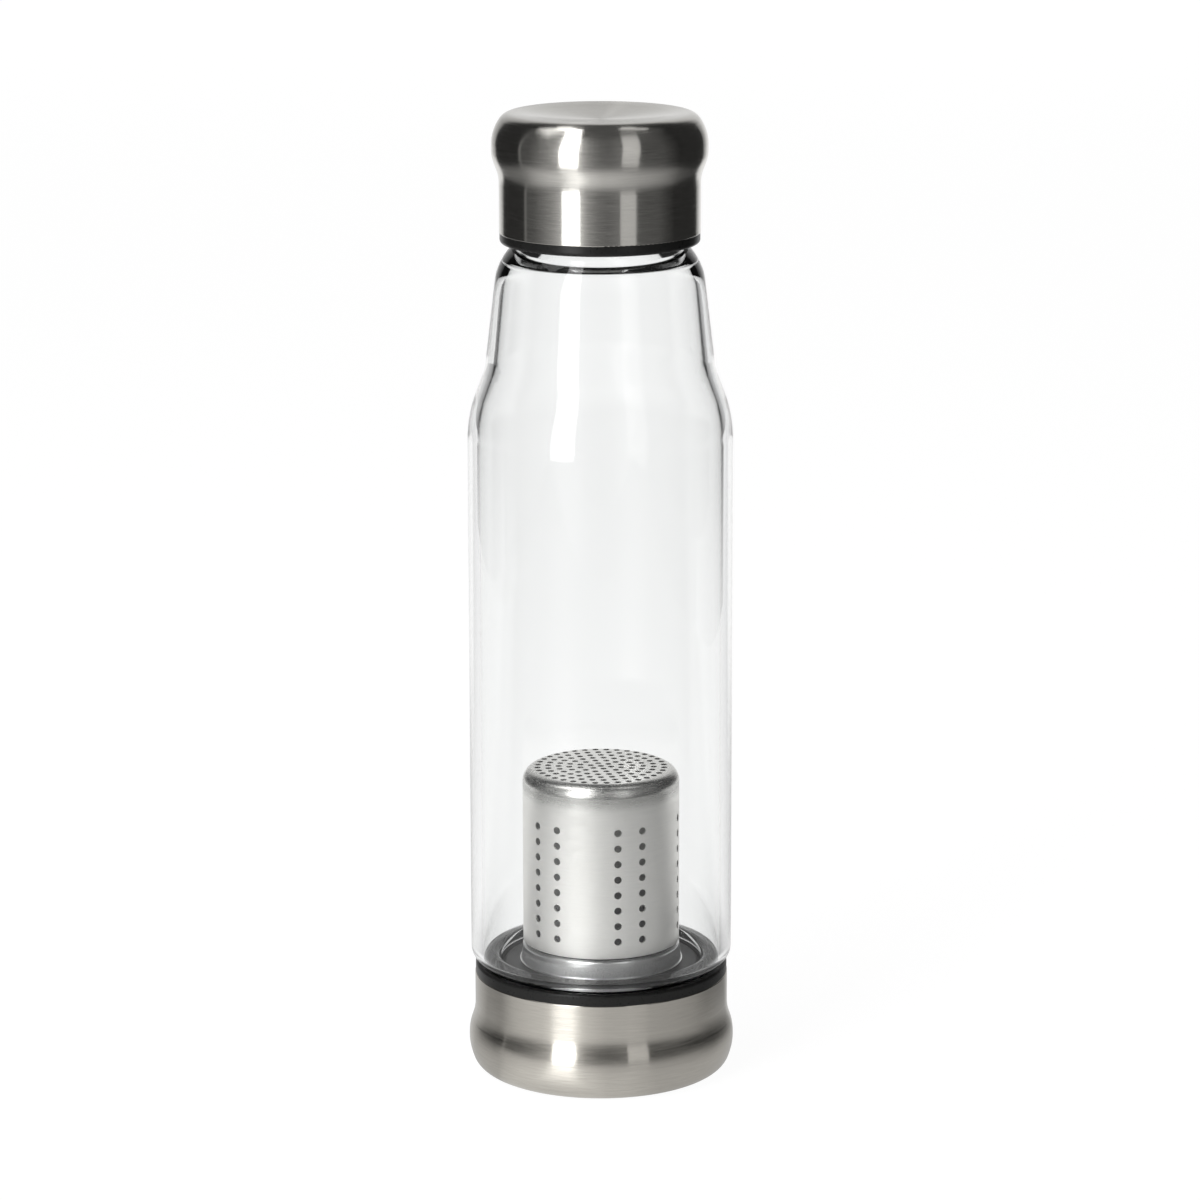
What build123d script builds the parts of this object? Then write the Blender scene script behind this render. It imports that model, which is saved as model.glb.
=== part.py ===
from build123d import *
import math
import os

# A glass fruit infuser bottle in millimetres, +Z up. The glass body has a
# threaded neck at both ends: the upper one takes the cap, the lower one screws
# into the base, which carries the infuser basket up inside the glass.
# The origin is on the floor, at the centre of the base.

os.makedirs("parts", exist_ok=True)

# Glass body: the outer radius of its barrel, how far it steps in at each bend, and the
# heights between the bends
glass_radius = 32.5
glass_wall = 2.8
waist_step = 4.34
shoulder_step = 3.24
upper_neck_step = 4.32
lower_neck_step = 4.6
barrel_height = 138.0
waist_height = 12.0
upper_height = 27.2
shoulder_rise = 3.5
upper_neck_length = 15.7
lower_neck_length = 13.6
foot_round = 3.5
barrel_round = 40.0
waist_round = 16.0
shoulder_round = 12.7
neck_round = 0.6
lip_round = 0.9

# Inside, the glass is thicker at the upper shoulder: a ledge a little under the outer bend
ledge_edge_drop = 1.25
ledge_bore_drop = 0.65
ledge_edge_round = 2.8
ledge_bore_round = 0.8

# Threads: each ridge is a trapezoid that stands on a round wall
thread_lead = 8.0
thread_starts = 2
thread_rise = 5.0
thread_reach = 1.1
thread_root_width = 2.0
thread_crest_width = 1.0
thread_sink = 0.4
thread_clearance = 0.35
lower_thread_height = 3.0
upper_thread_depth = 10.5

# Sheet steel of the base and the cap, and the plastic inside them
sheet = 0.6
edge_round = 0.25
insert_wall = 1.6
sleeve_gap = 0.1

# Base shell
base_height = 24.6
base_step = 0.9
base_bulge = 1.55
base_bulge_low = 10.2
base_bulge_high = 14.4
base_bend_round = 11.5
base_heel_width = 1.9
base_heel_height = 5.8
base_side_round = 12.1
base_corner_round = 4.4
base_foot_width = 10.8
base_recess_slope = 1.6
base_recess_depth = 0.8
base_recess_round = 0.6

# Black ring of the base, and the two seals
ring_height = 2.7
ring_setback = 0.15
ring_round = 0.6
foot_gap = 0.35
seal_thickness = 2.0
seal_clearance = 0.35
seal_round = 0.4

# Steel tray and collar that carry the infuser
tray_height = 3.0
tray_sheet = 0.6
tray_clearance = 0.5
tray_skirt = 5.0
tray_round = 1.0
tray_press_gap = 0.1
collar_sheet = 0.5
tray_margin = 4.3
collar_flange_width = 0.35
collar_band_taper = 0.35
collar_shoulder_width = 0.1
collar_shoulder_height = 4.9
collar_spigot_length = 3.0
collar_foot_round = 0.8
collar_shoulder_round = 1.5
collar_spigot_round = 0.6

# Infuser basket
basket_sheet = 0.5
basket_height = 44.1
basket_round = 3.4
basket_groove = 0.7
spigot_fit = 0.08
wall_hole_radius = 0.92
wall_hole_pitch = 3.97
wall_hole_count = 8
wall_hole_height = 4.3
column_angle = 18.75
pair_angle = 64.0
pair_count = 5
first_pair_angle = -115.9
top_hole_radius = 0.78
top_ring_pitch = 2.63
top_ring_start_angle = -75.0

# Cap
cap_gap = 0.2
cap_rim_height = 2.5
cap_rim_setback = 0.15
cap_rim_round = 0.9
cap_sleeve_wall = 1.75
cap_bulge = 1.8
cap_bend_low = 13.8
cap_bend_high = 18.5
cap_bend_round = 8.4
cap_side_height = 24.7
cap_side_round = 13.0
cap_crown_step = 3.05
cap_crown_round = 4.2
cap_height = 29.0
cap_brim_width = 4.35
cap_dish_edge_round = 24.0
cap_dish_radius = 8.5
cap_dish_depth = 1.6
cap_dish_round = 108.0

# One overrun for every cut, and the share of a straight wall that its rounds may take
overrun = 1.0
full_wall_share = 0.98

# Heights above the floor, each worked out from what carries it
ring_top = base_height + ring_height
glass_foot = ring_top + foot_gap
lower_lip = glass_foot - lower_neck_length
channel_floor = lower_lip - seal_thickness
insert_foot = channel_floor - insert_wall
tray_top = base_height + tray_height
waist_low = glass_foot + barrel_height
waist_high = waist_low + waist_height
glass_shoulder = waist_high + upper_height
neck_foot = glass_shoulder + shoulder_rise
upper_lip = neck_foot + upper_neck_length
cap_rim_bottom = neck_foot + cap_gap
cap_edge = cap_rim_bottom + cap_rim_height
cap_crest = cap_edge + cap_height
cap_ceiling = upper_lip + seal_thickness
collar_shoulder = tray_top + collar_shoulder_height
basket_foot = collar_shoulder + basket_groove
basket_top = basket_foot + basket_height

# Radii that follow from the steps and the fits
waist_radius = glass_radius - waist_step
shoulder_radius = waist_radius - shoulder_step
upper_neck_radius = shoulder_radius - upper_neck_step
lower_neck_radius = glass_radius - lower_neck_step
lower_bore = lower_neck_radius + thread_reach + thread_clearance
upper_bore = upper_neck_radius + thread_reach + thread_clearance
base_skirt_radius = glass_radius - base_step
base_bulge_radius = base_skirt_radius + base_bulge
base_recess_radius = base_bulge_radius - base_foot_width
base_sleeve_radius = base_skirt_radius - sheet - sleeve_gap
cap_sleeve_radius = upper_bore + cap_sleeve_wall
cap_skirt_radius = cap_sleeve_radius + sleeve_gap + sheet
cap_bulge_radius = cap_skirt_radius + cap_bulge
cap_crown_radius = cap_bulge_radius - cap_crown_step
cap_dish_edge_radius = cap_crown_radius - cap_brim_width
tray_radius = lower_neck_radius - glass_wall - tray_clearance
plateau_radius = tray_radius - tray_sheet - tray_press_gap
collar_flange_radius = tray_radius - tray_margin
collar_band_radius = collar_flange_radius - collar_flange_width
collar_shoulder_radius = collar_band_radius - collar_band_taper
basket_radius = collar_shoulder_radius - collar_shoulder_width
basket_bore = basket_radius - basket_sheet
spigot_radius = basket_bore - spigot_fit

# Where the ridges start. A ring's or a cap's ridges run half a spacing away from
# the neck's, so they hold the neck and never touch it
thread_offset = thread_lead / thread_starts / 2
lower_thread_start = lower_lip + lower_thread_height
upper_thread_start = upper_lip - upper_thread_depth


def limited(points, rounds):
    """Rounds for a chain of corners, none larger than its two walls leave room for."""
    ways = [Vector(*b) - Vector(*a) for a, b in zip(points, points[1:])]
    turns = [math.radians(a.get_angle(b)) for a, b in zip(ways, ways[1:])]
    used = [0, *(size * math.tan(turn / 2) for size, turn in zip(rounds, turns)), 0]
    wall_shares = [
        min(1, full_wall_share * way.length / (a + b)) if a + b else 1
        for way, a, b in zip(ways, used, used[1:])
    ]
    return [size * min(a, b) for size, a, b in zip(rounds, wall_shares, wall_shares[1:])]


def set_in(points, rounds, depth):
    """A chain of corners moved to the left of its own direction, and its new rounds."""
    ways = [(Vector(*b) - Vector(*a)).normalized() for a, b in zip(points, points[1:])]
    sides = [Vector(-way.Y, way.X) for way in ways]
    moved = []
    for point, a, b in zip(points, sides[:1] + sides, sides + sides[-1:]):
        step = (a + b) * (depth / (1 + a.dot(b)))
        moved.append((point[0] + step.X, point[1] + step.Y))
    new_rounds = []
    for size, a, b in zip(rounds, ways, ways[1:]):
        change = math.copysign(depth, -a.cross(b).Z)
        new_rounds.append(max(size + change, 0))
    return moved, new_rounds


def wall_between(outer, outer_rounds, inner, inner_rounds, end_round=0):
    """The closed outline of a wall between two chains of corners."""
    outer_side = [end_round, *limited(outer, outer_rounds), end_round]
    inner_side = [end_round, *limited(inner, inner_rounds), end_round]
    FilletPolyline(*outer, *inner[::-1], radius=outer_side + inner_side[::-1], close=True)


def wall_outline(points, rounds, depth, end_round=0):
    """The closed outline of a wall of even thickness, to the left of a chain of corners."""
    wall_between(points, rounds, *set_in(points, rounds, depth), end_round)


def thread_ridge(radius, reach, start_height):
    """One helical ridge on a round wall, standing outwards or, if reach is below 0, inwards."""
    sink = math.copysign(thread_sink, -reach)
    flank = (thread_root_width - thread_crest_width) / 2 / thread_reach
    sunk_width = thread_root_width + 2 * thread_sink * flank
    with BuildPart() as ridge:
        with BuildLine() as path:
            Helix(thread_lead, thread_rise, radius, center=(0, 0, start_height))
        with BuildSketch(Plane(path.line @ 0, x_dir=(1, 0, 0), z_dir=path.line % 0)):
            with BuildLine():
                Polyline(
                    (sink, -sunk_width / 2),
                    (reach, -thread_crest_width / 2),
                    (reach, thread_crest_width / 2),
                    (sink, sunk_width / 2),
                    close=True,
                )
            make_face()
        sweep(path=path.line, is_frenet=True)
    return ridge.part


def thread(radius, reach, start_height):
    """All starts of one thread, spaced evenly round the axis."""
    ridge = thread_ridge(radius, reach, start_height)
    return [ridge.rotate(Axis.Z, start * 360 / thread_starts) for start in range(thread_starts)]


# The glass body: an even wall from the lower lip up to the ledge, and a thread on each neck
glass_side = [
    (lower_neck_radius, lower_lip),
    (lower_neck_radius, glass_foot),
    (glass_radius, glass_foot),
    (glass_radius, waist_low),
    (waist_radius, waist_high),
    (shoulder_radius, glass_shoulder),
    (upper_neck_radius, neck_foot),
    (upper_neck_radius, upper_lip),
]
glass_rounds = [neck_round, foot_round, barrel_round, waist_round, shoulder_round, neck_round]
glass_inside, inside_rounds = set_in(glass_side, glass_rounds, glass_wall)
*lower_inside, (waist_bore, waist_bore_height), _, (neck_bore, _), lip_inside = glass_inside
ledge_edge = glass_shoulder - ledge_edge_drop
ledge_radius = waist_bore - (ledge_edge - waist_bore_height) * shoulder_step / upper_height
glass_inside = [
    *lower_inside,
    (waist_bore, waist_bore_height),
    (ledge_radius, ledge_edge),
    (neck_bore, glass_shoulder - ledge_bore_drop),
    lip_inside,
]
inside_rounds = [*inside_rounds[:-2], ledge_edge_round, ledge_bore_round]

with BuildPart() as glass_body:
    with BuildSketch(Plane.XZ):
        with BuildLine():
            wall_between(glass_side, glass_rounds, glass_inside, inside_rounds, lip_round)
        make_face()
    revolve(axis=Axis.Z)
    add(thread(lower_neck_radius, thread_reach, lower_thread_start))
    add(thread(upper_neck_radius, thread_reach, upper_thread_start))
glass_body.part.label = "glass_body"

# The base shell is drawn from sheet: a recessed floor, a bulge and a straight skirt
base_side = [
    (0, base_recess_depth),
    (base_recess_radius, base_recess_depth),
    (base_recess_radius + base_recess_slope, 0),
    (base_bulge_radius - base_heel_width, 0),
    (base_bulge_radius, base_heel_height),
    (base_bulge_radius, base_bulge_low),
    (base_skirt_radius, base_bulge_high),
    (base_skirt_radius, base_height),
]
base_rounds = [
    base_recess_round,
    base_recess_round + sheet,
    base_corner_round,
    base_side_round,
    base_bend_round,
    base_bend_round,
]

with BuildPart() as base_shell:
    with BuildSketch(Plane.XZ):
        with BuildLine():
            wall_outline(base_side, base_rounds, sheet)
        make_face()
    revolve(axis=Axis.Z)
    rim_edges = base_shell.edges().filter_by(GeomType.CIRCLE).group_by(Axis.Z)[-1]
    fillet(rim_edges.sort_by(SortBy.RADIUS)[-1], edge_round)
base_shell.part.label = "base_shell"

# The base insert: a threaded sleeve inside the skirt with a ring that shows above it,
# a channel for the neck's lip and a raised middle for the tray
ring_radius = base_skirt_radius - ring_setback
plateau_top = tray_top - tray_sheet

with BuildPart() as base_insert:
    with BuildSketch(Plane.XZ):
        with BuildLine():
            FilletPolyline(
                (base_sleeve_radius, insert_foot),
                (base_sleeve_radius, base_height),
                (ring_radius, base_height),
                (ring_radius, ring_top),
                (lower_bore, ring_top),
                (lower_bore, channel_floor),
                (plateau_radius, channel_floor),
                (plateau_radius, plateau_top),
                (0, plateau_top),
                (0, plateau_top - insert_wall),
                (plateau_radius - insert_wall, plateau_top - insert_wall),
                (plateau_radius - insert_wall, insert_foot),
                radius=[0, 0, 0, ring_round, ring_round, 0, 0, tray_round, 0, 0, 0, 0],
                close=True,
            )
        make_face()
    revolve(axis=Axis.Z)
    add(thread(lower_bore, -thread_reach, lower_thread_start + thread_offset))
base_insert.part.label = "base_insert"

# The base seal lies in the channel, under the glass lip
with BuildPart() as base_seal:
    with BuildSketch(Plane.XZ):
        with BuildLine():
            FilletPolyline(
                (plateau_radius + seal_clearance, channel_floor),
                (lower_bore - seal_clearance, channel_floor),
                (lower_bore - seal_clearance, lower_lip),
                (plateau_radius + seal_clearance, lower_lip),
                radius=seal_round,
                close=True,
            )
        make_face()
    revolve(axis=Axis.Z)
base_seal.part.label = "base_seal"

# The tray is a steel pan pressed over the raised middle
with BuildPart() as infuser_tray:
    with BuildSketch(Plane.XZ):
        with BuildLine():
            wall_outline(
                [(tray_radius, tray_top - tray_skirt), (tray_radius, tray_top), (0, tray_top)],
                [tray_round],
                tray_sheet,
            )
        make_face()
    revolve(axis=Axis.Z)
infuser_tray.part.label = "infuser_tray"

# The collar is a pressed ring: a flange on the tray, a band, a shoulder and a spigot
band_bore = collar_band_radius - collar_sheet
shoulder_bore = collar_shoulder_radius - collar_sheet
spigot_bore = spigot_radius - collar_sheet

with BuildPart() as infuser_collar:
    with BuildSketch(Plane.XZ):
        with BuildLine():
            wall_outline(
                [
                    (spigot_bore, basket_foot + collar_spigot_length),
                    (spigot_bore, collar_shoulder - collar_sheet),
                    (shoulder_bore, collar_shoulder - collar_sheet),
                    (band_bore, tray_top),
                    (collar_flange_radius, tray_top),
                ],
                [collar_spigot_round, collar_shoulder_round, collar_foot_round],
                collar_sheet,
            )
        make_face()
    revolve(axis=Axis.Z)
infuser_collar.part.label = "infuser_collar"

# The infuser basket: a drawn cup, open downwards, with pairs of hole columns in its wall
# and rings of holes in its top. Its angles start at -Y and grow towards +X
with BuildPart() as infuser_basket:
    with BuildSketch(Plane.XZ):
        with BuildLine():
            wall_outline(
                [(basket_radius, basket_foot), (basket_radius, basket_top), (0, basket_top)],
                [basket_round],
                basket_sheet,
            )
        make_face()
    revolve(axis=Axis.Z)
    hole_row_middle = basket_foot + wall_hole_height + wall_hole_pitch * (wall_hole_count - 1) / 2
    for pair in range(pair_count):
        for column in range(2):
            angle = math.radians(first_pair_angle + pair * pair_angle + column * column_angle)
            outwards = (math.sin(angle), -math.cos(angle), 0)
            across = (math.cos(angle), math.sin(angle), 0)
            with BuildSketch(Plane((0, 0, hole_row_middle), x_dir=across, z_dir=outwards)):
                with GridLocations(wall_hole_pitch, wall_hole_pitch, 1, wall_hole_count):
                    Circle(wall_hole_radius)
            extrude(amount=basket_radius + overrun, mode=Mode.SUBTRACT)
    top_ring_room = basket_radius - basket_round
    top_ring_count = int(top_ring_room // top_ring_pitch)
    with BuildSketch(Plane.XY.offset(basket_top)):
        Circle(top_hole_radius)
        for ring in range(1, top_ring_count + 1):
            with PolarLocations(ring * top_ring_pitch, 6 * ring, start_angle=top_ring_start_angle):
                Circle(top_hole_radius)
    extrude(amount=basket_sheet + overrun, both=True, mode=Mode.SUBTRACT)
infuser_basket.part.label = "infuser_basket"

# The cap insert: a threaded sleeve with a rim that shows below the steel, and a ceiling
cap_rim_radius = cap_skirt_radius - cap_rim_setback

with BuildPart() as cap_insert:
    with BuildSketch(Plane.XZ):
        with BuildLine():
            FilletPolyline(
                (upper_bore, cap_rim_bottom),
                (cap_rim_radius, cap_rim_bottom),
                (cap_rim_radius, cap_edge),
                (cap_sleeve_radius, cap_edge),
                (cap_sleeve_radius, cap_ceiling + insert_wall),
                (0, cap_ceiling + insert_wall),
                (0, cap_ceiling),
                (upper_bore, cap_ceiling),
                radius=[edge_round, cap_rim_round, 0, 0, edge_round, 0, 0, 0],
                close=True,
            )
        make_face()
    revolve(axis=Axis.Z)
    add(thread(upper_bore, -thread_reach, upper_thread_start - thread_offset))
cap_insert.part.label = "cap_insert"

# The cap seal lies against the ceiling, over the glass lip
with BuildPart() as cap_seal:
    with BuildSketch(Plane.XZ):
        with BuildLine():
            FilletPolyline(
                (upper_neck_radius - glass_wall - seal_clearance, upper_lip),
                (upper_bore - seal_clearance, upper_lip),
                (upper_bore - seal_clearance, cap_ceiling),
                (upper_neck_radius - glass_wall - seal_clearance, cap_ceiling),
                radius=seal_round,
                close=True,
            )
        make_face()
    revolve(axis=Axis.Z)
cap_seal.part.label = "cap_seal"

# The cap shell is drawn from sheet: a straight skirt, a bulge and a dished top
cap_side = [
    (cap_skirt_radius, cap_edge),
    (cap_skirt_radius, cap_edge + cap_bend_low),
    (cap_bulge_radius, cap_edge + cap_bend_high),
    (cap_bulge_radius, cap_edge + cap_side_height),
    (cap_crown_radius, cap_crest),
    (cap_dish_edge_radius, cap_crest),
    (cap_dish_radius, cap_crest - cap_dish_depth),
    (0, cap_crest - cap_dish_depth),
]
cap_rounds = [
    cap_bend_round,
    cap_bend_round,
    cap_side_round,
    cap_crown_round,
    cap_dish_edge_round,
    cap_dish_round,
]

with BuildPart() as cap_shell:
    with BuildSketch(Plane.XZ):
        with BuildLine():
            wall_outline(cap_side, cap_rounds, sheet)
        make_face()
    revolve(axis=Axis.Z)
    rim_edges = cap_shell.edges().filter_by(GeomType.CIRCLE).group_by(Axis.Z)[0]
    fillet(rim_edges.sort_by(SortBy.RADIUS)[-1], edge_round)
cap_shell.part.label = "cap_shell"

pieces = [
    base_shell,
    base_insert,
    base_seal,
    infuser_tray,
    infuser_collar,
    infuser_basket,
    glass_body,
    cap_seal,
    cap_insert,
    cap_shell,
]
for piece in pieces:
    export_step(piece.part, f"parts/{piece.part.label}.step")
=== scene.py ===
# %% [markdown]
# # A glass fruit infuser bottle
#
# The bottle is a clear glass tube with a threaded neck at both ends, a dished steel cap, a steel
# base with a black ring, and a perforated steel basket that stands inside the glass on a
# collar. The measured solids come in first, and every finish is then put on or around them.
# Some of them are already the right shape, such as the drawn cap and the basket with its
# holes, so they only need a finish. The glass needs a finer skin than a measured solid has,
# because every small facet of clear glass bends the view behind it, so it is turned again here.

import math

import bmesh
import bpy
from mathutils import Matrix, Vector


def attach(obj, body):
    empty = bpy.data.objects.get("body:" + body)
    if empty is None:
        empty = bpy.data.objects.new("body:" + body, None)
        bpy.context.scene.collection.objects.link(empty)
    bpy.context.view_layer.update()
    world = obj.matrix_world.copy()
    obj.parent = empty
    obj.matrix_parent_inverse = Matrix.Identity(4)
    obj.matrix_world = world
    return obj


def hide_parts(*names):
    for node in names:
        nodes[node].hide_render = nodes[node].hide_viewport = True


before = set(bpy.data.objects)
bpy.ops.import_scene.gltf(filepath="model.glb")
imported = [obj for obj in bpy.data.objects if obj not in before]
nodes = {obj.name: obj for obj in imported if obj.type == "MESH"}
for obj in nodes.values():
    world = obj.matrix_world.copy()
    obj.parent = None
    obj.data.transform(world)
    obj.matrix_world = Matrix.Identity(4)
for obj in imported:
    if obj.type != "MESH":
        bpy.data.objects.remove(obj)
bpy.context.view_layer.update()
mm = 0.001
print("pieces:", sorted(nodes))

# %% [markdown]
# ## The camera
#
# The photograph was taken with a long lens from a little above, so the rims read as thin
# ellipses. A camera close by would swell the cap and show far more of its top, so the same
# long lens is kept, and the camera stands more than a metre away. It leans by a tenth of a
# degree, as the one in the photograph did.

# %% Set the camera
camera_data = bpy.data.cameras.new("camera")
camera_data.sensor_width = 36
camera_data.lens = 140.2
camera = bpy.data.objects.new("camera", camera_data)
camera.location = (-0.00014, -1.1221, 0.3828)
camera_pitch = math.radians(13.209)
camera_lean = math.radians(-0.1)
aim = Matrix.Rotation(math.pi / 2 - camera_pitch, 3, "X") @ Matrix.Rotation(camera_lean, 3, "Z")
camera.rotation_euler = aim.to_euler()
bpy.context.collection.objects.link(camera)
scene = bpy.context.scene
scene.camera = camera
scene.view_settings.view_transform = "Standard"
print("camera", round(camera.location.length, 3), "m away")

# %% [markdown]
# ## Small helpers for node materials
#
# A material is a graph: boxes with sockets, and wires between them. Naming every wire by hand
# makes a script long, so one helper makes a box, sets its plain values and wires its inputs.


# %% Helpers for materials
class Graph:
    """The node graph of one material or world."""

    def __init__(self, owner, clear=False):
        owner.use_nodes = True
        self.tree = owner.node_tree
        if clear:
            self.tree.nodes.clear()

    def box(self, kind, inputs=None, **settings):
        made = self.tree.nodes.new(kind)
        for name, value in settings.items():
            setattr(made, name, value)
        for name, value in (inputs or {}).items():
            if isinstance(value, bpy.types.NodeSocket):
                self.tree.links.new(value, made.inputs[name])
            else:
                made.inputs[name].default_value = value
        return made

    def math(self, operation, *values):
        return self.box("ShaderNodeMath", dict(enumerate(values)), operation=operation).outputs[0]

    def vector_math(self, operation, *values, output=0):
        return self.box("ShaderNodeVectorMath", dict(enumerate(values)), operation=operation).outputs[output]

    def ramp(self, value, stops):
        made = self.box("ShaderNodeValToRGB", {"Fac": value})
        elements = made.color_ramp.elements
        while len(elements) > 1:
            elements.remove(elements[-1])
        for index, (place, grey) in enumerate(stops):
            element = elements[0] if index == 0 else elements.new(place)
            element.position = place
            element.color = (grey, grey, grey, 1)
        return made.outputs[0]

    def wire(self, output, socket):
        self.tree.links.new(output, socket)


def new_material(name):
    material = bpy.data.materials.new(name)
    return material, Graph(material)


def put_on(material, *names):
    for name in names:
        nodes[name].data.materials.clear()
        nodes[name].data.materials.append(material)
    print(material.name, "on", *names)


# %% [markdown]
# ## The studio: what the metal and the glass reflect
#
# Polished steel and clear glass have hardly any look of their own. What one sees on them is the
# room: pale boards, black boards and the lamps. So the room is built first, and it is what
# gives the cap its bright strips and the glass its thin dark edges. A single picture of a room
# wrapped round the scene would be the quick way, but it would light the bottle from infinitely
# far away, and the strips on the glass would then never end where they should.
#
# Every part of the room is painted by place: by its height, by its distance from the bottle, or
# by its azimuth, which is the direction as seen from the bottle. So the helpers turn a place into
# a number, and a ramp turns that number into a grey.

# %% Helpers for the studio
full_turn = 2 * math.pi
paper_white = 0.965


def azimuth_stops(pairs):
    """Ramp places for azimuths in degrees: 0 towards the camera, positive to the right."""
    return [(azimuth / 360 + 0.5, grey) for azimuth, grey in pairs]


def azimuth_of(graph, parts):
    """The azimuth of a point from its X and Y, as a number from 0 to 1."""
    back = graph.math("MULTIPLY", parts.outputs["Y"], -1)
    angle = graph.math("ARCTAN2", parts.outputs["X"], back)
    return graph.math("ADD", graph.math("DIVIDE", angle, full_turn), 0.5)


def between(graph, value, start, end, from_value=0, to_value=1, interpolation_type="LINEAR"):
    """Values from one number to another while value goes from start to end."""
    return graph.box(
        "ShaderNodeMapRange",
        {"Value": value, "From Min": start, "From Max": end, "To Min": from_value, "To Max": to_value},
        interpolation_type=interpolation_type,
    ).outputs[0]


def blend(graph, share, a, b):
    """The number a where share is 0, and b where it is 1."""
    return graph.box("ShaderNodeMix", {"Factor": share, "A": a, "B": b}, data_type="FLOAT").outputs[0]


def straight_through(graph, path):
    """1 for a ray that came through clear glass and was mirrored nowhere on its way."""
    unmirrored = graph.math("LESS_THAN", path.outputs["Glossy Depth"], 0.5)
    return graph.math("MULTIPLY", path.outputs["Is Transmission Ray"], unmirrored)


def stage_piece(name, bm, material):
    mesh = bpy.data.meshes.new(name)
    bm.to_mesh(mesh)
    bm.free()
    mesh.materials.append(material)
    thing = bpy.data.objects.new(name, mesh)
    bpy.context.collection.objects.link(thing)
    print(name, "is part of the room,", len(mesh.polygons), "faces")
    return thing


# %% [markdown]
# The table is white to the camera and keeps the shadow of the bottle. In reflections it is a pool
# of light round the bottle that fades outwards, brighter on the side of the large lamp and
# darker on the side away from it. Near the bottle the bright side narrows, because there the
# bottle stands in its own light. What is seen straight through the glass is white again.

# %% The table's finish
table_white, brightest_glow, table_light = 0.86, 2.34, 1.1
table_paper, graph = new_material("table_paper")
graph.tree.nodes.clear()
coords = graph.box("ShaderNodeTexCoord").outputs["Object"]
parts = graph.box("ShaderNodeSeparateXYZ", {0: coords})
reach = graph.vector_math("LENGTH", coords, output="Value")
path = graph.box("ShaderNodeLightPath")
pool = graph.ramp(reach, [
    (0.04, 1.0), (0.06, 0.97), (0.09, 0.91), (0.13, 0.93), (0.18, 1.0), (0.22, 0.98), (0.26, 0.88),
    (0.32, 0.68), (0.42, 0.42), (0.56, 0.28), (0.84, 0.21),
])
near_stretch = 0.021
stretch = graph.math("ADD", graph.math("DIVIDE", near_stretch, reach), 1)
turn = graph.math("SUBTRACT", azimuth_of(graph, parts), 0.5)
stretched = graph.math("MULTIPLY_ADD", turn, stretch, 0.5)
half_glow = graph.ramp(stretched, azimuth_stops([
    (-180, 0.3), (-160, 0.28), (-144, 0.22), (-132, 0.15), (-108, 0.13), (-98, 0.24), (-90, 0.31),
    (-73, 0.38), (-56, 0.43), (-50, 0.5), (-46, 0.63), (-41, 0.79), (-36, 0.86), (-28, 0.86),
    (-23, 0.69), (-18, 0.52), (-13, 0.44), (-4, 0.38), (5, 0.33), (20, 0.32), (47, 0.25),
    (73, 0.22), (90, 0.19), (99, 0.16), (107, 0.11), (116, 0.06), (137, 0.045), (150, 0.075),
    (166, 0.15), (180, 0.3),
]))
highest_glow = between(graph, reach, 0.034, 0.052, 0.36, 0.9)
least_glow = between(graph, reach, 0.05, 0.12, 0.25, 0)
half_glow = graph.math("MAXIMUM", graph.math("MINIMUM", half_glow, highest_glow), least_glow)
glow_round = graph.math("MULTIPLY", half_glow, brightest_glow)
shown_in_metal = graph.math("MULTIPLY", pool, glow_round)
behind = between(graph, parts.outputs["Y"], 0.04, 0.12, interpolation_type="SMOOTHSTEP")
through_glass = graph.math("MULTIPLY", path.outputs["Is Transmission Ray"], behind)
past_bottle = between(graph, reach, 0.06, 0.14, interpolation_type="SMOOTHSTEP")
seen_straight = graph.math("MULTIPLY", straight_through(graph, path), past_bottle)
through_glass = graph.math("MAXIMUM", through_glass, seen_straight)
plain = graph.math("MAXIMUM", path.outputs["Is Camera Ray"], through_glass)
far_back = between(graph, parts.outputs["Y"], 0.15, 0.45, interpolation_type="SMOOTHSTEP")
back_only = graph.ramp(azimuth_of(graph, parts), azimuth_stops([
    (-147, 1), (-142, 0), (142, 0), (147, 1),
]))
plain = graph.math("MAXIMUM", plain, graph.math("MULTIPLY", far_back, back_only))
brightness = blend(graph, plain, shown_in_metal, table_light)
glow = graph.box("ShaderNodeEmission", {"Strength": brightness}).outputs[0]
paper = graph.box("ShaderNodeBsdfDiffuse", {"Color": (0.9, 0.9, 0.9, 1)}).outputs[0]
seen = graph.math("MAXIMUM", path.outputs["Is Transmission Ray"], path.outputs["Is Glossy Ray"])
seen = graph.math("MAXIMUM", seen, path.outputs["Is Camera Ray"])
share = graph.math("MULTIPLY", seen, table_white)
mixed = graph.box("ShaderNodeMixShader", {0: share, 1: paper, 2: glow}).outputs[0]
graph.box("ShaderNodeOutputMaterial", {"Surface": mixed})
print("table finish:", len(graph.tree.nodes), "boxes")

# %% The table
table_left, table_right = -0.62, 0.52
table_front, table_back = -0.60, 3.0
bm = bmesh.new()
bmesh.ops.create_grid(bm, x_segments=1, y_segments=1, size=0.5)
bmesh.ops.scale(bm, vec=(table_right - table_left, table_back - table_front, 1), verts=bm.verts)
table_middle = ((table_left + table_right) / 2, (table_back + table_front) / 2, 0)
bmesh.ops.translate(bm, vec=table_middle, verts=bm.verts)
stage_piece("table", bm, table_paper)

# %% [markdown]
# The walls of the room are one wide ring, painted by azimuth: white behind the bottle, which is
# what one sees through the glass, and greys in front of it, which are what the steel shows. To
# the camera itself they are plain white. The greys beside each lamp are its spill on the wall.
# A grazing edge of metal mirrors less of the white behind the bottle than clear glass shows, so
# the white has softer sides for the metal.

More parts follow.
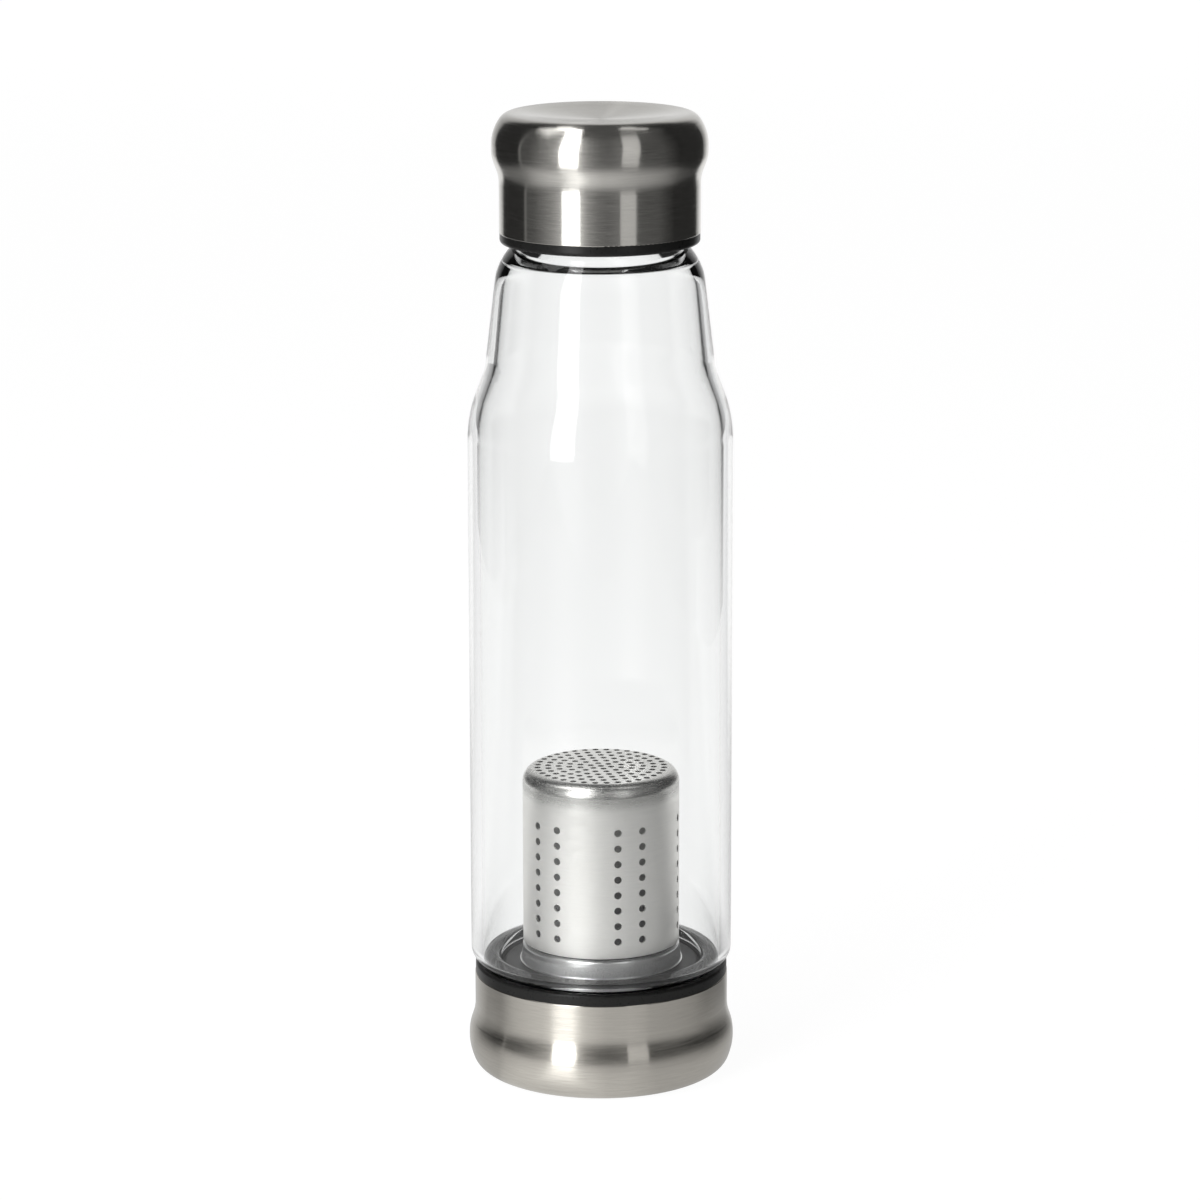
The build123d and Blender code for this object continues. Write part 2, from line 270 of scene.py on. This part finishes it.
# %% The walls
behind_for_metal = azimuth_stops([
    (-180, 0.985), (-160, 0.7), (-154, 0.58), (-149, 0.5), (-145, 0.3), (-141, 0.02),
    (139, 0.02), (142, 0.2), (149, 0.5), (154, 0.75), (160, 0.9), (180, 0.985),
])
walls_paint, graph = new_material("walls_paint")
graph.tree.nodes.clear()
coords = graph.box("ShaderNodeTexCoord").outputs["Object"]
parts = graph.box("ShaderNodeSeparateXYZ", {0: coords})
around = azimuth_of(graph, parts)
front = graph.ramp(around, azimuth_stops([
    (-143, 0.02), (-95.2, 0.05), (-94.4, 0.24), (-92.6, 0.24), (-91.8, 0.09), (-80, 0.1),
    (-69, 0.18), (-58, 0.3), (-51, 0.45), (-46, 0.62), (-32, 0.8), (-20, 0.7), (-15, 0.42),
    (-10, 0.31), (-5, 0.23), (0, 0.18), (8, 0.15), (15, 0.17), (19, 0.2), (42, 0.12), (47, 0.095),
    (70, 0.095), (82, 0.055), (95, 0.025), (143, 0.02),
]))
through_glass = graph.ramp(around, azimuth_stops([
    (-146, paper_white), (-143, 0), (143, 0), (146, paper_white),
]))
higher = between(graph, parts.outputs["Z"], 0, 0.6, 1, 0.8)
in_metal = graph.math("MULTIPLY", graph.ramp(around, behind_for_metal), higher)
path = graph.box("ShaderNodeLightPath")
behind = blend(graph, path.outputs["Is Glossy Ray"], through_glass, in_metal)
greys = graph.math("MAXIMUM", front, behind)
from_behind = graph.ramp(around, azimuth_stops([
    (-100, 0), (-94, paper_white), (94, paper_white), (100, 0),
]))
from_behind = graph.math("MULTIPLY", from_behind, straight_through(graph, path))
greys = graph.math("MAXIMUM", greys, from_behind)
paint = graph.box("ShaderNodeEmission", {"Color": greys}).outputs[0]
white = graph.box("ShaderNodeEmission").outputs[0]
mixed = graph.box("ShaderNodeMixShader", {0: path.outputs["Is Camera Ray"], 1: paint, 2: white}).outputs[0]
graph.box("ShaderNodeOutputMaterial", {"Surface": mixed})

walls_radius, walls_height = 3.2, 6.0
bm = bmesh.new()
bmesh.ops.create_cone(
    bm, cap_ends=False, segments=96, radius1=walls_radius, radius2=walls_radius, depth=walls_height
)
stage_piece("walls", bm, walls_paint)

# %% [markdown]
# Two black boards stand behind the bottle, one on each side. Clear glass is hard to see in
# front of white, so photographers place such boards just outside the picture: the curved edge
# of the glass bends the view sideways onto them and shows a thin dark line. The foot of each
# board is painted pale, as painted light from the table, which is why the lines fade halfway
# down the glass. The steel mirrors the boards as black from top to bottom.

# %% The black boards
board_black, graph = new_material("board_black")
graph.tree.nodes.clear()
coords = graph.box("ShaderNodeTexCoord").outputs["Object"]
height = graph.box("ShaderNodeSeparateXYZ", {0: coords}).outputs["Z"]
# painted light: each board glows pale at its foot, as if the table lit it, and dark above
painted_light_at_foot = graph.ramp(height, [
    (0, 0.8), (0.03, 0.55), (0.06, 0.2), (0.11, 0.03), (0.15, 0.02),
])
seen_in_steel = 0.03
path = graph.box("ShaderNodeLightPath")
outside_glass = graph.math("LESS_THAN", path.outputs["Transmission Depth"], 0.5)
in_steel = graph.math("MULTIPLY", path.outputs["Is Glossy Ray"], outside_glass)
paleness = blend(graph, in_steel, painted_light_at_foot, seen_in_steel)
dark = graph.box("ShaderNodeEmission", {"Strength": paleness}).outputs[0]
graph.box("ShaderNodeOutputMaterial", {"Surface": dark})


def only_for_the_bottle(thing):
    """Hide a stage piece from the camera and keep it from dimming the table."""
    thing.visible_camera = False
    thing.visible_diffuse = False
    thing.visible_shadow = False


def black_board(name, near, far, board_height=2.4):
    bm = bmesh.new()
    foot = [bm.verts.new((*near, 0)), bm.verts.new((*far, 0))]
    edge = bm.edges.new(foot)
    raised = bmesh.ops.extrude_edge_only(bm, edges=[edge])["geom"]
    top = [part for part in raised if isinstance(part, bmesh.types.BMVert)]
    bmesh.ops.translate(bm, vec=(0, 0, board_height), verts=top)
    only_for_the_bottle(stage_piece(name, bm, board_black))


black_board("black_board_left", near=(-0.598, 0.052), far=(-0.415, 0.515))
black_board("black_board_right", near=(0.498, 0.044), far=(0.335, 0.405))

# %% [markdown]
# Light from the left lamp also comes back off the far side of the glass, by way of the lid of the
# basket, as a bright spot in the clear space above it. A small grey flag behind the basket
# takes that spot away. It only stops mirrored light, so the camera never sees the flag itself.

# %% The flag behind the basket
flag_grey = 0.4
flag_card, graph = new_material("flag_card")
graph.tree.nodes.clear()
facing = graph.math("SUBTRACT", 1, graph.box("ShaderNodeNewGeometry").outputs["Backfacing"])
mirrored = graph.math("GREATER_THAN", graph.box("ShaderNodeLightPath").outputs["Glossy Depth"], 0.5)
dark = graph.box("ShaderNodeEmission", {"Strength": flag_grey}).outputs[0]
clear = graph.box("ShaderNodeBsdfTransparent").outputs[0]
stops = graph.math("MULTIPLY", facing, mirrored)
mixed = graph.box("ShaderNodeMixShader", {0: stops, 1: clear, 2: dark}).outputs[0]
graph.box("ShaderNodeOutputMaterial", {"Surface": mixed})
flag_width, flag_height = 0.032, 0.012
flag_middle = (0, 0.0245, 0.0845)
bm = bmesh.new()
bmesh.ops.create_grid(bm, x_segments=1, y_segments=1, size=0.5)
bmesh.ops.scale(bm, vec=(flag_width, flag_height, 1), verts=bm.verts)
bmesh.ops.rotate(bm, cent=(0, 0, 0), matrix=Matrix.Rotation(-math.pi / 2, 3, "X"), verts=bm.verts)
bmesh.ops.translate(bm, vec=flag_middle, verts=bm.verts)
print("the flag faces", tuple(round(turn) for turn in next(iter(bm.faces)).normal))
only_for_the_bottle(stage_piece("flag", bm, flag_card))

# %% [markdown]
# Above the walls there is only air. The camera sees it white, like the rest of the background.
# The bottle sees it dim, so the dish on top of the cap isn't lit flat from all sides, and the
# panels over it still draw their patches.

# %% The air above the walls
world = bpy.data.worlds.new("studio_air")
scene.world = world
graph = Graph(world, clear=True)
path = graph.box("ShaderNodeLightPath")
dim = graph.box("ShaderNodeBackground", {"Color": (0.1, 0.1, 0.1, 1)}).outputs[0]
white = graph.box("ShaderNodeBackground", {"Color": (1, 1, 1, 1)}).outputs[0]
mixed = graph.box("ShaderNodeMixShader", {0: path.outputs["Is Camera Ray"], 1: dim, 2: white}).outputs[0]
graph.box("ShaderNodeOutputWorld", {"Surface": mixed})
print("air:", len(graph.tree.nodes), "boxes")

# %% [markdown]
# The lamps are flat softboxes. A tall bright one in front on the left draws the white strip
# down the cap, the glass and the base, and a dim one on the right draws the grey strip. The left
# one has an arm that leans back over the bottle, so its strip runs on over the cap's shoulder.
# The panels above are broad and dim, and draw the soft patches at the rim of the cap.


# %% The lamps
def softbox(name, foot, top, width, radiance):
    """A flat lamp from foot to top that faces the bottle, as bright as radiance from anywhere."""
    foot, top = Vector(foot), Vector(top)
    up = (top - foot).normalized()
    middle = (foot + top) / 2
    away = middle * Vector((1, 1, 0))
    away = (away - up * away.dot(up)).normalized()
    lamp = bpy.data.lights.new(name, "AREA")
    lamp.shape = "RECTANGLE"
    lamp.size = width
    lamp.size_y = (top - foot).length
    lamp.energy = radiance * math.pi * lamp.size * lamp.size_y
    box = bpy.data.objects.new(name, lamp)
    box.location = middle
    box.rotation_euler = Matrix((up.cross(away), up, away)).transposed().to_euler()
    box.visible_camera = False
    bpy.context.collection.objects.link(box)


strip_width, strip_radiance = 0.25, 4.0
softbox("softbox_left", (-0.376, -0.59, 0.037), (-0.376, -0.59, 0.75), strip_width, strip_radiance)
softbox("softbox_left_arm", (-0.376, -0.59, 0.71), (-0.38, -0.30, 1.5), strip_width, strip_radiance)
softbox("softbox_right", (0.358, -0.60, 0.036), (0.358, -0.45, 0.85), width=0.22, radiance=0.6)
softbox("softbox_over_left", (-0.95, 0.05, 1.1), (-0.35, 0.0, 1.6), width=0.9, radiance=1.5)
softbox("softbox_crown_left", (-0.6, -0.42, 1.2), (-0.42, -0.2, 1.58), width=0.5, radiance=0.9)
softbox("softbox_over_right", (0.7, 0.05, 1.32), (0.28, 0.0, 1.55), width=0.5, radiance=0.9)
print("lamps:", sorted(lamp.name for lamp in bpy.data.lights))

# %% [markdown]
# ## Brushed steel
#
# The cap and the base are drawn from sheet and brushed while they turn, so fine scratches run
# round them. Each scratch is a tiny groove: it spreads a reflection up and down, across the
# groove, and leaves it sharp along the groove. That is anisotropy, and the tangent that runs
# round the axis tells the shader which way the grooves lie. The grooves themselves are drawn as
# noise that is stretched round the axis: its fine coordinates are the height and the
# distance from the axis, and its coarse one is the direction round it, so the lines close up
# everywhere, on the flat top too.
#
# The basket is brushed less. Where its wall was drawn round into the lid the steel slid over the
# die, so that corner is smoother. Below that corner a darker band is painted into the steel's
# colour as painted shade, in place of the dark reflection that the rounded corner shows.


# %% Brushed steel
def brushed_steel(name, color, roughness, anisotropic, groove_turn=0.25, lines=0.12, smooth_painted_shade_band=None):
    """Steel with grooves round the axis, smoother and with a band of painted shade between two heights if
    given.
    """
    lines_per_metre, patches_round, worn = 3400, 5, 0.28
    material, graph = new_material(name)
    shader = graph.tree.nodes["Principled BSDF"]
    shader.inputs["Metallic"].default_value = 1
    shader.inputs["Anisotropic"].default_value = anisotropic
    shader.inputs["Anisotropic Rotation"].default_value = groove_turn
    tangent = graph.box("ShaderNodeTangent", direction_type="RADIAL", axis="Z")
    graph.wire(tangent.outputs[0], shader.inputs["Tangent"])
    coords = graph.box("ShaderNodeTexCoord").outputs["Object"]
    flat = graph.vector_math("MULTIPLY", coords, (1, 1, 0))
    reach = graph.vector_math("LENGTH", flat, output="Value")
    unit = graph.vector_math("NORMALIZE", flat)
    upwards = graph.vector_math("MULTIPLY", coords, (0, 0, lines_per_metre))
    lane = graph.vector_math("MULTIPLY_ADD", unit, (patches_round,) * 3, upwards)
    outwards = graph.math("MULTIPLY", reach, lines_per_metre)
    noise = graph.box(
        "ShaderNodeTexNoise", {"Vector": lane, "W": outwards, "Scale": 1, "Detail": 4, "Roughness": 0.7},
        noise_dimensions="4D",
    ).outputs[0]
    rough = between(graph, noise, 0.25, 0.75, roughness * (1 - worn), roughness * (1 + worn))
    tone = graph.box("ShaderNodeMix", {"Factor": between(graph, noise, 0.25, 0.75)}, data_type="RGBA")
    tone.inputs["A"].default_value = (*[share * (1 - lines) for share in color], 1)
    tone.inputs["B"].default_value = (*[share * (1 + lines) for share in color], 1)
    color_out = tone.outputs["Result"]
    if smooth_painted_shade_band:
        height = graph.box("ShaderNodeSeparateXYZ", {0: coords}).outputs["Z"]
        up_corner = between(graph, height, *smooth_painted_shade_band)
        smoother = graph.ramp(up_corner, [(0, 1), (0.35, 0.7), (1, 0.62)])
        rough = graph.math("MULTIPLY", rough, smoother)
        # painted shade: the band below the lid's corner is darkened in the colour, not by light
        painted_corner_shade = graph.ramp(up_corner, [
            (0, 1), (0.2, 0.92), (0.35, 0.72), (0.5, 0.56), (0.62, 0.6), (0.75, 0.9), (0.85, 1), (1, 1),
        ])
        color_out = graph.vector_math("MULTIPLY", color_out, painted_corner_shade)
    graph.wire(rough, shader.inputs["Roughness"])
    graph.wire(color_out, shader.inputs["Base Color"])
    return material


cap_steel = brushed_steel("cap_steel", (0.60, 0.585, 0.55), roughness=0.18, anisotropic=1.0)
base_steel = brushed_steel("base_steel", (0.575, 0.55, 0.50), roughness=0.18, anisotropic=1.0)
corner_low, lid_height = 69 * mm, 77.3 * mm
basket_steel = brushed_steel(
    "basket_steel", (0.95, 0.94, 0.91), roughness=0.42, anisotropic=0.6, groove_turn=0, lines=0.05,
    smooth_painted_shade_band=(corner_low, lid_height),
)
put_on(cap_steel, "cap_shell")
put_on(base_steel, "base_shell")
put_on(basket_steel, "infuser_basket")

# %% [markdown]
# The collar is pressed, not brushed. Its flange and its rounded shoulder rubbed against the die
# and shine, and the sloping band between them kept the grain of the sheet. The spigot is painted
# nearly black, as painted shade under the basket. All four lie at their own height, so one ramp
# by height sets them.

# %% The collar's steel
flange_top, band_low, band_high, bead_low, bead_top, spigot_low = 28.2, 28.5, 30.7, 31.2, 32.5, 32.62
collar_steel, graph = new_material("collar_steel")
shader = graph.tree.nodes["Principled BSDF"]
shader.inputs["Metallic"].default_value = 1
coords = graph.box("ShaderNodeTexCoord").outputs["Object"]
height = graph.box("ShaderNodeSeparateXYZ", {0: coords}).outputs["Z"]
collar_foot, collar_top = 27.6, 36.2
up_collar = between(graph, height, collar_foot * mm, collar_top * mm)


def collar_stops(pairs):
    return [((place - collar_foot) / (collar_top - collar_foot), grey) for place, grey in pairs]


# the last stop is painted shade: the spigot under the basket is made nearly black in the colour
tone = graph.ramp(up_collar, collar_stops([
    (flange_top, 0.9), (band_low, 0.82), (band_high, 0.88), (bead_low, 0.95), (bead_top, 0.95),
    (spigot_low, 0.06),
]))
grain = graph.box("ShaderNodeTexNoise", {"Vector": coords, "Scale": 4500, "Detail": 1}).outputs[0]
grain_share = graph.ramp(up_collar, collar_stops([
    (flange_top, 0.05), (band_low, 0.4), (band_high, 0.4), (bead_low, 0.1), (bead_top, 0.05),
]))
uneven = graph.math("SUBTRACT", grain, 0.5)
speckle = graph.math("MULTIPLY_ADD", uneven, graph.math("MULTIPLY", grain_share, 2), 1)
shade = graph.math("MULTIPLY", tone, speckle)
graph.wire(shade, shader.inputs["Base Color"])
roughness = graph.ramp(up_collar, collar_stops([
    (flange_top, 0.25), (band_low, 0.52), (band_high, 0.52), (bead_low, 0.28), (bead_top, 0.28),
]))
graph.wire(roughness, shader.inputs["Roughness"])
put_on(collar_steel, "infuser_collar")

# %% [markdown]
# ## Black plastic and silicone
#
# The ring of the base, the rim of the cap, the tray and the two threaded sleeves are moulded in
# black plastic. It isn't quite black, and a fine uneven grain keeps its gloss from looking like
# lacquer. The tray is a little coarser. The seals are milky silicone.

# %% Plastic and silicone
def moulded_plastic(name, specular, smooth, coarse):
    material, graph = new_material(name)
    shader = graph.tree.nodes["Principled BSDF"]
    shader.inputs["Specular IOR Level"].default_value = specular
    coords = graph.box("ShaderNodeTexCoord").outputs["Object"]
    grain = graph.box("ShaderNodeTexNoise", {"Vector": coords, "Scale": 2200, "Detail": 2}).outputs[0]
    graph.wire(between(graph, grain, 0, 1, smooth, coarse), shader.inputs["Roughness"])
    tone = graph.box("ShaderNodeMix", {"Factor": grain}, data_type="RGBA")
    tone.inputs["A"].default_value = (0.010, 0.010, 0.010, 1)
    tone.inputs["B"].default_value = (0.020, 0.020, 0.019, 1)
    graph.wire(tone.outputs["Result"], shader.inputs["Base Color"])
    return material


black_plastic = moulded_plastic("black_plastic", specular=0.24, smooth=0.22, coarse=0.38)
tray_plastic = moulded_plastic("tray_plastic", specular=0.3, smooth=0.3, coarse=0.5)

silicone, graph = new_material("silicone")
shader = graph.tree.nodes["Principled BSDF"]
coords = graph.box("ShaderNodeTexCoord").outputs["Object"]
cloud = graph.box("ShaderNodeTexNoise", {"Vector": coords, "Scale": 300, "Detail": 3}).outputs[0]
tone = graph.box("ShaderNodeMix", {"Factor": cloud}, data_type="RGBA")
tone.inputs["A"].default_value = (0.70, 0.70, 0.67, 1)
tone.inputs["B"].default_value = (0.80, 0.80, 0.77, 1)
graph.wire(tone.outputs["Result"], shader.inputs["Base Color"])
shader.inputs["Roughness"].default_value = 0.5
put_on(black_plastic, "base_insert", "cap_insert")
put_on(tray_plastic, "infuser_tray")
put_on(silicone, "base_seal", "cap_seal")

# %% [markdown]
# ## The glass
#
# Clear glass has no colour to paint. It needs a smooth surface that lets light pass, and the
# index that says how strongly it bends light on the way in and out. Its colour is nearly white:
# each surface on the way takes a trace of the light, and a little more of the red.

# %% The glass material
bending_index = 1.47
clear_glass, graph = new_material("clear_glass")
shader = graph.tree.nodes["Principled BSDF"]
shader.inputs["Base Color"].default_value = (0.985, 0.99, 0.988, 1)
shader.inputs["Roughness"].default_value = 0
shader.inputs["IOR"].default_value = bending_index
shader.inputs["Transmission Weight"].default_value = 1
print("clear glass, index", bending_index)

# %% [markdown]
# The body is a blown tube that is thicker at both shoulders, where the glass gathers before each
# neck. So its outside and its inside are drawn apart, as a few corners in the plane of the axis,
# and the two join at the lips into one closed line. Bevelling a corner of bare edges rounds it,
# and spinning the line round the axis makes the whole skin. Giving one skin an even thickness
# would be less work, but the thick upper shoulder is what makes the dark ring under the cap: its
# inner ledge mirrors the black plastic above it.


# %% Helpers for the glass
def rounded_outline(bm, corners, steps):
    """Edges through corners of (radius, height, round), each corner rounded by a bevel."""
    longest = 4 * mm
    verts = [bm.verts.new((radius, 0, height)) for radius, height, _ in corners]
    for pair in zip(verts, verts[1:]):
        bm.edges.new(pair)
    spots = [vert.co.copy() for vert in verts]
    for before, spot, after, vert, (_, _, size) in zip(spots, spots[1:], spots[2:], verts[1:], corners[1:]):
        turn = (spot - before).angle(after - spot)
        if size > 0:
            bmesh.ops.bevel(
                bm, geom=[vert], offset=size * math.tan(turn / 2), offset_type="OFFSET", segments=steps,
                profile=0.5, affect="VERTICES", material=-1, clamp_overlap=False,
            )
    for edge in [e for e in bm.edges if e.calc_length() > 1.5 * longest]:
        bmesh.ops.subdivide_edges(bm, edges=[edge], cuts=int(edge.calc_length() / longest))


def turn_round(bm, columns):
    """Spin everything once round the axis and close the seam."""
    bmesh.ops.spin(
        bm, geom=[*bm.verts, *bm.edges], cent=(0, 0, 0), axis=(0, 0, 1), dvec=(0, 0, 0),
        angle=full_turn, steps=columns, use_merge=True, use_duplicate=False,
    )
    bmesh.ops.remove_doubles(bm, verts=bm.verts, dist=1e-6)
    bmesh.ops.recalc_face_normals(bm, faces=bm.faces)


def finished_piece(name, bm, material, body, sharp=40):
    mesh = bpy.data.meshes.new(name)
    bm.to_mesh(mesh)
    bm.free()
    mesh.materials.append(material)
    mesh.shade_smooth()
    mesh.set_sharp_from_angle(angle=math.radians(sharp))
    piece = bpy.data.objects.new(name, mesh)
    bpy.context.collection.objects.link(piece)
    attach(piece, body)
    print(name, len(mesh.polygons), "faces")
    return piece


# %% The glass body
# Sizes in millimetres; each corner is its radius, its height and how far it is rounded
body_radius, waist_radius, shoulder_radius, upper_neck, lower_neck = 32.5, 28.16, 24.92, 20.6, 27.9
waist_bore, ledge_radius, wall, lip_round = 25.33, 22.9, 2.8, 0.9
glass_heights = [corner[2] / mm for corner in nodes["glass_body"].bound_box]
lower_lip, upper_lip = min(glass_heights), max(glass_heights)
# The heights at which the outside bends, from the lower lip up
heel = lower_lip + 13.6
barrel_top = heel + 138
waist_top = barrel_top + 12
shoulder = waist_top + 27.2
neck_foot = shoulder + 3.5
# Outside and inside meet in the middle of the lower lip
seam = lower_neck - wall / 2
glass_outside = [
    (seam, lower_lip, 0), (lower_neck, lower_lip, lip_round), (lower_neck, heel, 0.6),
    (body_radius, heel, 3.5), (body_radius, barrel_top, 28), (waist_radius, waist_top, 13),
    (shoulder_radius, shoulder, 12.6), (upper_neck, neck_foot, 0.6), (upper_neck, upper_lip, lip_round),
]
glass_inside = [
    (upper_neck - wall, upper_lip, lip_round), (upper_neck - wall, shoulder - 0.65, 0.8),
    (ledge_radius, shoulder - 0.55, 1.2), (waist_bore, waist_top + 0.25, 15),
    (body_radius - wall, barrel_top + 0.25, 25), (body_radius - wall, heel + 1.95, 0.7),
    (lower_neck - wall, heel + wall, 1.6), (lower_neck - wall, lower_lip, lip_round),
    (seam, lower_lip, 0),
]
print("glass from", round(lower_lip, 2), "to", round(upper_lip, 2), "mm")
bm = bmesh.new()
round_steps, columns = 12, 192
corners = [(radius * mm, height * mm, size * mm) for radius, height, size in glass_outside + glass_inside]
rounded_outline(bm, corners, round_steps)
turn_round(bm, columns)
reach = [math.hypot(v.co.x, v.co.y) / mm for v in bm.verts]
print("glass radii in mm:", round(min(reach), 2), round(max(reach), 2))
glass_skin = finished_piece("glass_skin", bm, clear_glass, "bottle")
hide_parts("glass_body")

# %% [markdown]
# The threads on the two necks are low ridges with two starts. A ridge is one small trapezoid,
# spun five eighths of a turn while it climbs, so it keeps its section all the way. On the real
# bottle it is one piece with the wall. Here the ridge stands a hair off the wall, because
# two skins of clear glass that cross each other would bend light twice.

# %% The threads of the two necks
thread_lead, thread_rise, thread_starts = 8 * mm, 5 * mm, 2
thread_reach, root_width, crest_width = 1.1 * mm, 2 * mm, 1 * mm
hair = 0.02 * mm
thread_turn = full_turn * thread_rise / thread_lead
turn_steps = 45
lower_start, upper_start = lower_lip + 3, upper_lip - 10.5
necks = [(lower_neck * mm, lower_start * mm), (upper_neck * mm, upper_start * mm)]
bm = bmesh.new()
for neck_radius, start_height in necks:
    for start in range(thread_starts):
        old = set(bm.verts)
        bmesh.ops.create_grid(bm, x_segments=1, y_segments=1, size=0.5)
        section = [vert for vert in bm.verts if vert not in old]
        bmesh.ops.rotate(bm, cent=(0, 0, 0), matrix=Matrix.Rotation(math.pi / 2, 3, "X"), verts=section)
        bmesh.ops.scale(bm, vec=(thread_reach - hair, 1, root_width), verts=section)
        bmesh.ops.translate(bm, vec=(neck_radius + (thread_reach + hair) / 2, 0, 0), verts=section)
        crest = [vert for vert in section if vert.co.x > neck_radius + thread_reach / 2]
        bmesh.ops.scale(bm, vec=(1, 1, crest_width / root_width), verts=crest)
        bmesh.ops.translate(bm, vec=(0, 0, start_height), verts=section)
        way_round = Matrix.Rotation(full_turn * start / thread_starts, 3, "Z")
        bmesh.ops.rotate(bm, cent=(0, 0, 0), matrix=way_round, verts=section)
        edges = {edge for vert in section for edge in vert.link_edges}
        faces = {face for vert in section for face in vert.link_faces}
        bmesh.ops.spin(
            bm, geom=[*section, *edges, *faces], cent=(0, 0, 0), axis=(0, 0, 1),
            dvec=(0, 0, thread_rise / turn_steps), angle=thread_turn, steps=turn_steps,
            use_merge=False, use_duplicate=False,
        )
bmesh.ops.remove_doubles(bm, verts=bm.verts, dist=1e-6)
bmesh.ops.holes_fill(bm, edges=[edge for edge in bm.edges if edge.is_boundary], sides=4)
bmesh.ops.recalc_face_normals(bm, faces=bm.faces)
heights = [vert.co.z / mm for vert in bm.verts]
print("threads from", round(min(heights), 2), "to", round(max(heights), 2), "mm,",
      sum(edge.is_boundary for edge in bm.edges), "open edges")
finished_piece("glass_threads", bm, clear_glass, "bottle", sharp=30)
